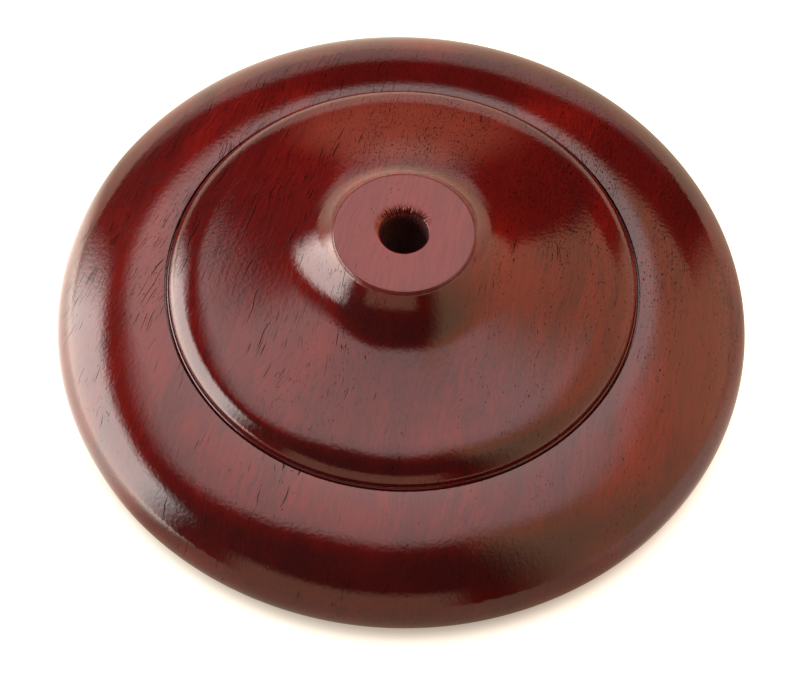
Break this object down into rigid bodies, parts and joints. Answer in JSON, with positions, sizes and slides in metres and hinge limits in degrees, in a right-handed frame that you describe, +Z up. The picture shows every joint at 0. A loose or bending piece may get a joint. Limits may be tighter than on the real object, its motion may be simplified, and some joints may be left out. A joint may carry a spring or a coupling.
{
  "type": "dip pen holder",
  "caption": "Low round turned mahogany stand in two tiers, with an upright socket in its central boss that holds one dip pen.",
  "frame": {"origin": "centre of the underside, on the surface that the holder stands on", "axes": "+Z up along the axis of the turning and of the pen socket; the grain of both tiers runs along Y"},
  "size_m": [0.14, 0.14, 0.0431],
  "materials": {
    "mahogany": "dark red stain under gloss lacquer, fine open pores",
    "cork": "natural composition cork",
    "baize": "green wool baize",
    "screw_steel": "bright steel",
    "beech": "plain, unfinished"
  },
  "bodies": {
    "root": {"base_plinth": "mahogany", "dome_tier": "mahogany", "nib_rest": "cork", "baize_pad": "baize", "tier_screw_1": "screw_steel", "tier_screw_2": "screw_steel", "tier_screw_3": "screw_steel", "index_dowel_1": "beech", "index_dowel_2": "beech"}
  },
  "joints": []
}
